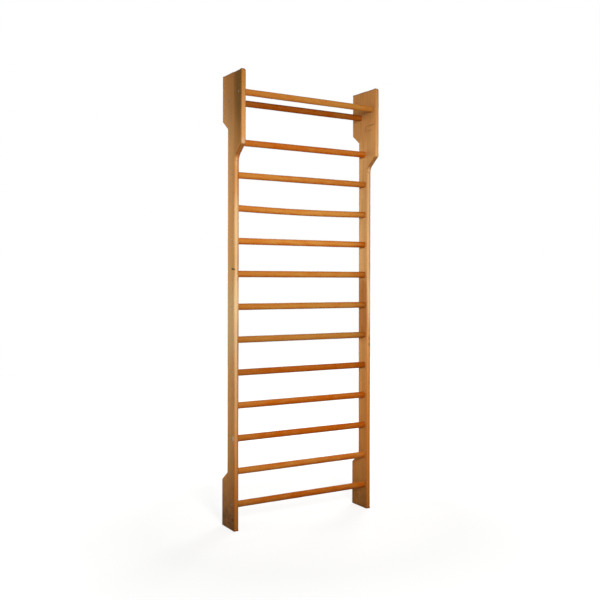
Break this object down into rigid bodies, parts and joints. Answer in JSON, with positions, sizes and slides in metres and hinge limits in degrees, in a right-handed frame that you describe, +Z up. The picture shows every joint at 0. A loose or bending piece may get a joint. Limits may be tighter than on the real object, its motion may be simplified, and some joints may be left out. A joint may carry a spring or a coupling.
{
  "type": "swedish wall bars",
  "caption": "Tall varnished wooden exercise ladder for a wall: plank uprights with glued head and foot blocks, joined by oval rungs, with a rung set forward at the top for hanging.",
  "frame": {"origin": "on the floor, midway between the uprights and midway from the front of the head blocks to the wall plane", "axes": "+X along the rungs to the right as seen from the room, +Y towards the wall, +Z up"},
  "size_m": [0.9, 0.235, 2.5],
  "materials": {
    "stile": "amber varnished pine plank, worn",
    "block": "amber varnished pine, a tone darker than the planks",
    "rung": "orange amber varnished hardwood",
    "dowel": "bare hardwood",
    "screw": "zinc plated, dulled"
  },
  "bodies": {
    "root": {"left_stile": "stile", "right_stile": "stile", "left_front_head_block": "block", "right_front_head_block": "block", "left_rear_head_block": "block", "right_rear_head_block": "block", "left_rear_foot_block": "block", "right_rear_foot_block": "block", "hang_rung": "rung", "rear_rung": "rung", "rung_1": "rung", "rung_2": "rung", "rung_3": "rung", "rung_4": "rung", "rung_5": "rung", "rung_6": "rung", "rung_7": "rung", "rung_8": "rung", "rung_9": "rung", "rung_10": "rung", "rung_11": "rung", "rung_12": "rung", "left_hang_rung_screw": "screw", "left_rear_rung_screw": "screw", "left_rung_1_screw": "screw", "left_rung_3_screw": "screw", "left_rung_5_screw": "screw", "left_rung_7_screw": "screw", "left_rung_9_screw": "screw", "left_rung_11_screw": "screw", "right_hang_rung_screw": "screw", "right_rear_rung_screw": "screw", "right_rung_1_screw": "screw", "right_rung_3_screw": "screw", "right_rung_5_screw": "screw", "right_rung_7_screw": "screw", "right_rung_9_screw": "screw", "right_rung_11_screw": "screw", "left_front_head_block_dowel_1": "dowel", "left_front_head_block_dowel_2": "dowel", "left_rear_head_block_dowel_1": "dowel", "left_rear_head_block_dowel_2": "dowel", "left_rear_foot_block_dowel_1": "dowel", "left_rear_foot_block_dowel_2": "dowel", "right_front_head_block_dowel_1": "dowel", "right_front_head_block_dowel_2": "dowel", "right_rear_head_block_dowel_1": "dowel", "right_rear_head_block_dowel_2": "dowel", "right_rear_foot_block_dowel_1": "dowel", "right_rear_foot_block_dowel_2": "dowel"}
  },
  "joints": []
}
